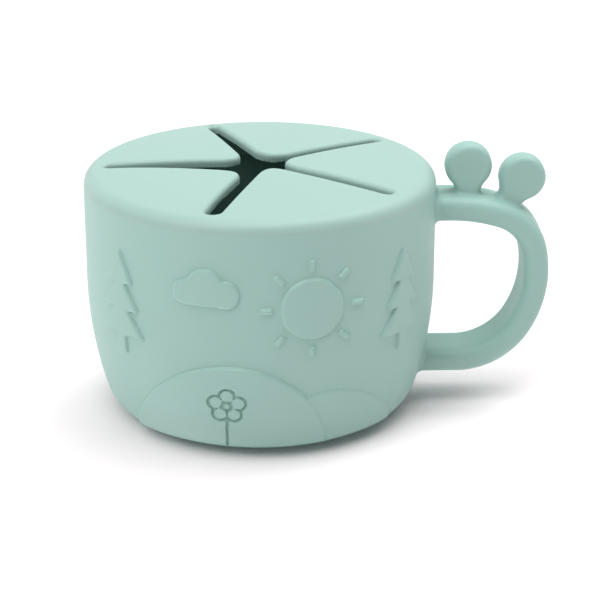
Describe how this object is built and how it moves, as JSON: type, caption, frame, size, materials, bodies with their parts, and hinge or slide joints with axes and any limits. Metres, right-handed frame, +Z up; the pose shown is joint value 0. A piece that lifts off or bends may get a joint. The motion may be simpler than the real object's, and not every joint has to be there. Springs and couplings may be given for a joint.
{
  "type": "toddler snack cup",
  "caption": "Soft moulded snack cup with a D-shaped side handle carrying two round thumb knobs, and a press-in lid whose domed top is slit into petals for reaching in.",
  "frame": {"origin": "centre of the flat base, on the cup's axis", "axes": "+Z up along the cup's axis, +X from the axis towards the handle, the raised pictures face -Y"},
  "size_m": [0.1222, 0.0928, 0.071],
  "materials": {
    "cup_silicone": "matte moulded silicone",
    "lid_silicone": "matte moulded silicone"
  },
  "bodies": {
    "cup": {"cup": "cup_silicone"},
    "lid": {"lid_ring": "lid_silicone", "petal_hinge_1": "lid_silicone", "petal_hinge_2": "lid_silicone", "petal_hinge_3": "lid_silicone", "petal_hinge_4": "lid_silicone", "petal_hinge_5": "lid_silicone"},
    "petal_1": {"petal_1": "lid_silicone"},
    "petal_2": {"petal_2": "lid_silicone"},
    "petal_3": {"petal_3": "lid_silicone"},
    "petal_4": {"petal_4": "lid_silicone"},
    "petal_5": {"petal_5": "lid_silicone"}
  },
  "joints": [
    {"name": "lid_lift", "type": "slide", "parent": "cup", "child": "lid", "axis": [0, 0, 1], "range_m": [0, 0.03]},
    {"name": "petal_1_bend", "type": "hinge", "parent": "lid", "child": "petal_1", "pos_m": [-0.02491, -0.01877, 0.06428], "axis": [0.6018, -0.7986, 0], "range_deg": [-75, 60], "stiffness_Nm_per_rad": 0.02, "deforming": ["petal_hinge_1"]},
    {"name": "petal_2_bend", "type": "hinge", "parent": "lid", "child": "petal_2", "pos_m": [0.01015, -0.02949, 0.06428], "axis": [0.9455, 0.3256, 0], "range_deg": [-75, 60], "stiffness_Nm_per_rad": 0.02, "deforming": ["petal_hinge_2"]},
    {"name": "petal_3_bend", "type": "hinge", "parent": "lid", "child": "petal_3", "pos_m": [0.03118, 0.00054, 0.06428], "axis": [-0.0175, 0.9998, 0], "range_deg": [-75, 60], "stiffness_Nm_per_rad": 0.02, "deforming": ["petal_hinge_3"]},
    {"name": "petal_4_bend", "type": "hinge", "parent": "lid", "child": "petal_4", "pos_m": [0.00912, 0.02982, 0.06428], "axis": [-0.9563, 0.2924, 0], "range_deg": [-75, 60], "stiffness_Nm_per_rad": 0.02, "deforming": ["petal_hinge_4"]},
    {"name": "petal_5_bend", "type": "hinge", "parent": "lid", "child": "petal_5", "pos_m": [-0.02555, 0.01789, 0.06428], "axis": [-0.5736, -0.8192, 0], "range_deg": [-75, 60], "stiffness_Nm_per_rad": 0.02, "deforming": ["petal_hinge_5"]}
  ]
}
